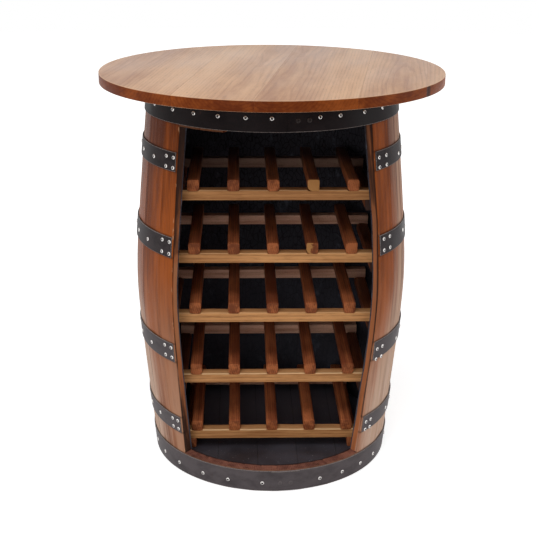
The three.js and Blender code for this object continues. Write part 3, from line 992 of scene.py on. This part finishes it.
def add_table():
    bottom, top = z_range("table_board_1")
    chance = random.Random(21)
    turn = Matrix.Rotation(TABLE_TURN, 4, "Z")
    for i, (tint, edge_tint, heart) in enumerate(BOARDS):
        left, right = BOARD_EDGES[i:i + 2]
        work = bmesh.new()
        base = work.faces.new([work.verts.new((x, y, bottom))
                               for x, y in board_outline(left + HALF_SEAM, right - HALF_SEAM)])
        for made in bmesh.ops.extrude_face_region(work, geom=[base])["geom"]:
            if isinstance(made, bmesh.types.BMVert):
                made.co.z = top
        bmesh.ops.recalc_face_normals(work, faces=work.faces)
        rim = [edge for edge in work.edges if edge.calc_length() < SHORT_EDGE]
        bmesh.ops.bevel(work, geom=rim, offset=TABLE_ARRIS, segments=3, profile=0.5,
                        affect="EDGES")
        work.verts.index_update()
        points = [v.co.copy() for v in work.verts]
        faces = [tuple(v.index for v in face.verts) for face in work.faces]
        work.free()
        drop = chance.uniform(0, 3)
        shift = heart - (left + right) / 2
        grain = [(p.x + shift, top - p.z, p.y + drop) for p in points]
        # The arris gets the painted highlight.
        rubbed = [1.0 if 0.1 * MM < top - p.z < 0.9 * TABLE_ARRIS else 0.0 for p in points]
        node = f"table_board_{i + 1}"
        piece = new_piece(node + "_oak", [turn @ p for p in points], faces, "table_oak",
                          node, grain, tint, rubbed)
        refinish(piece, "table_edge", lambda face: abs(face.normal.z) < 0.3, edge_tint)


# Rack

STICK_LIP = 1.2 * MM  # how long and deep the easing of a stick's ends is
STICK_BOW = 0.35 * MM
BROKEN_REACH = 12 * MM  # how far in from the end broken corners go


def corner_points(width, height, corners):
    """A rounded rectangle's outline, with a radius of its own at each corner."""
    points = []
    for quarter, (x, y, radius) in enumerate(zip((1, -1, -1, 1), (1, 1, -1, -1), corners)):
        for angle in spread(TURN / 4 * quarter, TURN / 4 * (quarter + 1), 5):
            points.append((x * (width / 2 - radius) + radius * math.cos(angle),
                           y * (height / 2 - radius) + radius * math.sin(angle)))
    return points


def add_stick(name, material, start, end, height, corners, tint, seed, stain, end_tint=None,
              broken=(0.0,) * 4, node=None):
    """A stick with rounded corners and eased ends, between two points on its own axis.

    stain is how dark painted shade makes its first end, the next part and the far part, and
    broken is how much more of each corner is gone at the first end."""
    start, end = Vector(start), Vector(end)
    direction = (end - start).normalized()
    side = direction.cross(UP)
    length = (end - start).length
    full = (STICK_LIP, 4 * MM, 8 * MM, 14 * MM, *spread(STICK_LIP, length - STICK_LIP, 14)[1:])
    some = STICK_LIP * 0.3
    stations = [(0.0, STICK_LIP), (some, some), *((along, 0.0) for along in full),
                (length - some, some), (length, STICK_LIP)]
    rings, grain, stains = [], [], []
    for along, inset in stations:
        near_end = max(0.0, 1 - along / BROKEN_REACH)
        outline = corner_points(STICK, height, [corner + more * near_end
                                                for corner, more in zip(corners, broken)])
        narrow, low = 1 - 2 * inset / STICK, 1 - 2 * inset / height
        bow = STICK_BOW * noise.noise(Vector((seed, along * 8, 0)))
        rings.append([start + direction * along + side * (x * narrow + bow) + UP * y * low
                      for x, y in outline])
        grain += [(x + seed * 0.61, y + seed * 0.17, along + seed * 1.3) for x, y in outline]
        stains += [follow(((9 * MM, stain[0]), (10 * MM, stain[1]), (0.1, stain[1]),
                           (0.24, stain[2])), along)] * len(outline)
    piece = new_piece(name, flat(rings), skin(rings), material, node, grain, tint,
                      stain=stains)
    refinish(piece, "bar_end",
             lambda face: len(face.vertices) > 4 or abs(face.normal.dot(direction)) > 0.5,
             end_tint)
    return piece


SEAT_ARRIS = 0.4 * MM  # how soft a rail's edge is in its seats
SEAT_CORNER = 5 * MM
SEAT_CLEARANCE = 0.3 * MM
RAIL_CHAMFER = 1 * MM
BACK_RAIL_ARRIS = 1.5 * MM

# From the lowest level up: how dark painted shade makes the bars' far part, the back rail
# and the runners, and the front rail's tone
BAR_PAINTED_SHADE = (0.1, 0.25, 0.45, 0.55, 0.85)
BACK_RAIL_PAINTED_SHADE = (0.0, 0.0, 0.0, 0.0, 0.75)
RUNNER_PAINTED_SHADE = [(0.2, 0.2, 0.2)] + [(0.97, 0.55, 0.55)] * 4
RAIL_TINTS = (0.44, 0.62, 0.74, 0.56, 0.24)


def seat_drop(x, bars):
    """How far a rail's top is cut down at x for the bars."""
    away = min(abs(x - bar) for bar in bars) - SEAT_CLEARANCE - (STICK / 2 - SEAT_CORNER)
    away = min(max(away, 0.0), SEAT_CORNER)
    return max(0.0, SEAT_DEPTH - SEAT_CORNER + math.sqrt(SEAT_CORNER**2 - away**2))


def add_front_rail(level, bars):
    """A rail with a shallow round seat for each bar."""
    node = f"front_rail_{level}"
    low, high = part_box(node)
    middle = (low.y + high.y) / 2
    half = (high.y - low.y) / 2
    places = set(spread(low.x, high.x, 80))
    for bar in bars:
        places |= set(spread(bar - STICK / 2 - 1 * MM, bar + STICK / 2 + 1 * MM, 33))
    rough = 1.0 if level <= 2 else 0.4
    rings, grain, wear = [], [], []
    for x in sorted(places):
        drop = seat_drop(x, bars)
        between_seats = 1 - drop / SEAT_DEPTH
        wave = (0.25 + 0.7 * rough) * MM * noise.noise(Vector((x * 26, level, 0)))
        top = high.z - drop + wave * between_seats
        soft = SEAT_ARRIS + ((1.4 + 0.8 * rough) * MM - SEAT_ARRIS) * between_seats
        # The front top arris is paler: partly wear, partly a painted highlight.
        worn_and_sheen = 0.0 if drop else rough
        outline = [(side * (half - soft) + soft * math.cos(turn),
                    top - soft + soft * math.sin(turn))
                   for side, start in ((1, 0.0), (-1, TURN / 4))
                   for turn in spread(start, start + TURN / 4, 4)]
        outline += [(-half, top - soft - GUARD), (-half, low.z + RAIL_CHAMFER),
                    (-half + RAIL_CHAMFER, low.z), (half - RAIL_CHAMFER, low.z),
                    (half, low.z + RAIL_CHAMFER)]
        rings.append([Vector((x, middle + y, z)) for y, z in outline])
        grain += [(y + level * 0.31, z - high.z + level * 0.2, x + level * 2.1)
                  for y, z in outline]
        wear += [0.0] * 4 + [0.2 * worn_and_sheen, worn_and_sheen, worn_and_sheen, worn_and_sheen] + [0.0] * 5
    new_piece(node + "_oak", flat(rings), skin(rings), "rail_oak", node, grain,
              RAIL_TINTS[level - 1], wear)


# Two bars have fresh ends: level and number, and how far the pale wood reaches across
FRESH_ENDS = {(5, 3): 1.0, (4, 3): 0.55}
# How much more of those bars' corners is gone at the end
BROKEN_CORNERS = {(5, 3): (-1 * MM, -1 * MM, 4 * MM, -3 * MM), (4, 3): (0.0, 0.0, 3 * MM, 0.0)}


def add_level(level, chance):
    """One level of the rack: its front and back rails, its bars and its side runners."""
    node = f"bar_frame_{level}"
    low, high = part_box(node)
    rail_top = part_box(f"front_rail_{level}")[1].z
    bars = [(i - (BARS - 1) / 2) * BAR_SPACING for i in range(BARS)]
    add_front_rail(level, bars)
    back, middle = high.y - STICK / 2, rail_top - RAIL_HEIGHT / 2
    add_stick(f"back_rail_{level}", "back_oak", (low.x, back, middle), (high.x, back, middle),
              RAIL_HEIGHT, (BACK_RAIL_ARRIS,) * 4, chance.uniform(0.4, 0.6), 40 + level,
              (BACK_RAIL_PAINTED_SHADE[level - 1],) * 3, node=node)
    z = rail_top - SEAT_DEPTH + STICK / 2
    blackening_and_painted_light = BAR_PAINTED_SHADE[level - 1]
    for i, x in enumerate(bars):
        corners = [chance.uniform(*radii) * MM for radii in ((3.4, 6), (3.4, 6), (6, 9), (6, 9))]
        bar = add_stick(f"bar_{level}_{i + 1}", "bar_oak", (x, low.y, z), (x, high.y, z), STICK,
                        corners, chance.uniform(0.35, 0.65), level * 7 + i,
                        (0.0, blackening_and_painted_light / 4, blackening_and_painted_light), chance.uniform(0.3, 0.7),
                        BROKEN_CORNERS.get((level, i), (0.0,) * 4))
        wear = bar.data.attributes["wear"].data
        for vertex in bar.data.vertices:
            across = (vertex.co.x - x) / STICK + 0.5
            if vertex.co.y < low.y + 1.5 * MM and across < FRESH_ENDS.get((level, i), -1.0):
                wear[vertex.index].value = 1.0
    z = low.z + STICK / 2
    for side, x in (("left", low.x + STICK / 2), ("right", high.x - STICK / 2)):
        add_stick(f"runner_{level}_{side}", "bar_oak", (x, low.y, z), (x, high.y, z), STICK,
                  (SEAT_CORNER,) * 4, chance.uniform(0.4, 0.6), 60 + level + x,
                  RUNNER_PAINTED_SHADE[level - 1])


# Stage

WHITE = (1, 1, 1, 1)
WORLD_LIGHT = 0.27
FLOOR_RADIUS = 8.0


def seen_rays(n):
    """1 for the rays that see the background, and 0 for those that carry its light."""
    seen = 0.0
    for ray in ("Is Camera Ray", "Is Glossy Ray", "Is Transmission Ray"):
        seen = n.maths("MAXIMUM", seen, n.add("LightPath", {}, ray))
    return seen


def add_stage():
    """A pale floor that shows white to the camera but keeps the shadow."""
    mesh = bpy.data.meshes.new("floor")
    corners = [placed(FLOOR_RADIUS, angle, 0.0) for angle in spread(0, TURN, 65)[:-1]]
    mesh.from_pydata(corners, [], [range(64)])
    n = new_material("floor_paper")
    diffuse = n.add("BsdfDiffuse", {"Color": (0.8, 0.8, 0.8, 1)})
    away = n.vectors("LENGTH", n.place(), output="Value")
    strength = n.remap(away, 0.4, 2.2, 0.68, 1.0)
    glow = n.add("Emission", {"Color": WHITE, "Strength": strength})
    lifted = n.add("AddShader", {0: diffuse, 1: glow})
    shown = n.add("MixShader", {0: seen_rays(n), 1: diffuse, 2: lifted})
    n.add("OutputMaterial", {"Surface": shown})
    mesh.materials.append(n.owner)
    new_object("floor", mesh)


def add_world():
    """A world that looks white, and gives less light than that."""
    world = bpy.data.worlds.new("studio")
    bpy.context.scene.world = world
    n = Nodes(world)
    strength = seen_rays(n) * (1 - WORLD_LIGHT) + WORLD_LIGHT
    n.add("OutputWorld", {"Surface": n.add("Background", {"Color": WHITE, "Strength": strength})})


def add_lamp(name, place, target, size, watts):
    light = bpy.data.lights.new(name, "AREA")
    light.shape, light.size, light.energy = "DISK", size, watts
    lamp = new_object(name, light)
    lamp.location = place
    lamp.rotation_euler = (Vector(target) - Vector(place)).to_track_quat("-Z", "Y").to_euler()


# Camera

IMAGE_WIDTH = 539
FOCAL_PIXELS = 1118.05
CAMERA_PLACE = Vector((-0.0747, -2.5164, 1.3175))
CAMERA_HEADING = math.radians(1.631)
CAMERA_PITCH = 0.3367
CAMERA_ROLL = 0.0057


def add_camera():
    camera = bpy.data.cameras.new("camera")
    camera.sensor_fit = "HORIZONTAL"
    camera.lens = camera.sensor_width * FOCAL_PIXELS / IMAGE_WIDTH
    eye = new_object("camera", camera)
    eye.matrix_world = (Matrix.Translation(CAMERA_PLACE)
                        @ Matrix.Rotation(-CAMERA_HEADING, 4, "Z")
                        @ Matrix.Rotation(TURN / 4 - CAMERA_PITCH, 4, "X")
                        @ Matrix.Rotation(CAMERA_ROLL, 4, "Z"))
    bpy.context.scene.camera = eye


bpy.context.scene.view_settings.view_transform = "Standard"
add_camera()
add_world()
add_stage()
add_lamp("key", (-0.6, -1.4, 3.3), (0, 0, 0.6), 2.6, 50)
add_lamp("fill", (-1.4, -3.4, 1.25), (0, 0, 0.5), 2.2, 24)
add_lamp("right", (2.8, -0.5, 1.1), (0, 0, 0.45), 1.8, 23)
add_lamp("left", (-2.8, -0.5, 1.1), (0, 0, 0.45), 1.8, 10)

add_staves()
add_stubs()
add_head("bottom_head")
add_head("top_head")
add_hoops()
add_table()
rack_chance = random.Random(8)
for rack_level in range(1, LEVELS + 1):
    add_level(rack_level, rack_chance)
